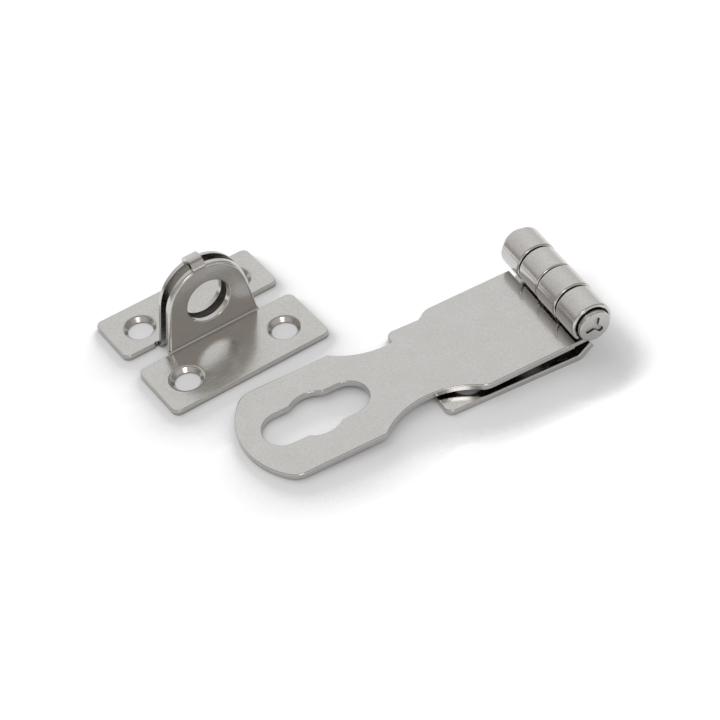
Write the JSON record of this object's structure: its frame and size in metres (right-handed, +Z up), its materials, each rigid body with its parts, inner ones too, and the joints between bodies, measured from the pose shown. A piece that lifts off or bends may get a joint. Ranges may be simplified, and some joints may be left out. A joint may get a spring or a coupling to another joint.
{
  "type": "padlock hasp",
  "caption": "Hinged padlock hasp pressed from polished stainless sheet: slotted, waisted strap on a rolled hinge, with a separate folded staple that takes the shackle.",
  "frame": {"origin": "middle of the fixed leaf's four screw holes, on the mounting surface", "axes": "+Z up from the mounting surface, +X from the strap's tip to the hinge, +Y along the hinge pin towards the side where the staple lies"},
  "size_m": [0.1015, 0.0779, 0.024],
  "materials": {
    "stainless_sheet": "tumbled and polished",
    "pin_steel": "turned and polished"
  },
  "bodies": {
    "mounted_parts": {"fixed_leaf": "stainless_sheet", "hinge_pin": "pin_steel", "staple": "stainless_sheet"},
    "strap": {"strap": "stainless_sheet"}
  },
  "joints": [
    {"name": "strap_hinge", "type": "hinge", "parent": "mounted_parts", "child": "strap", "pos_m": [0.0215, 0, 0.0095], "axis": [0, 1, 0], "range_deg": [0, 190]}
  ]
}
